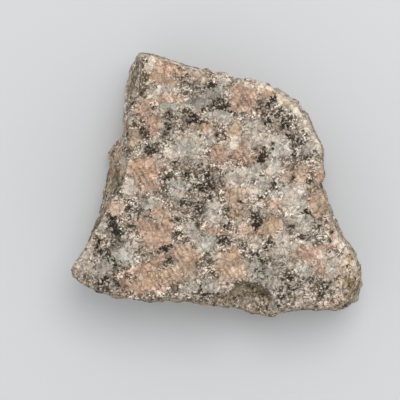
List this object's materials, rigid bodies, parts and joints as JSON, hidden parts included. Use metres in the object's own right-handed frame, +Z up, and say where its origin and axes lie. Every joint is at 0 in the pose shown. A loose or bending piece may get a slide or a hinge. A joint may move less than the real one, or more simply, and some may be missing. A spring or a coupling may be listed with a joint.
{
  "type": "rough rock",
  "caption": "Rough broken lump of coarse pink granite with a flat top, steep broken sides and a scooped chip in one edge.",
  "frame": {"origin": "under the middle of the stone's bounding box, on the surface that it rests on", "axes": "+Z up, +X along the longest side of the stone, +Y towards its narrow pointed end"},
  "size_m": [0.0832, 0.0762, 0.0338],
  "materials": {
    "granite": "rough broken crystals of pink feldspar, pale grey quartz and black mica"
  },
  "bodies": {
    "root": {"rough_rock": "granite"}
  },
  "joints": []
}
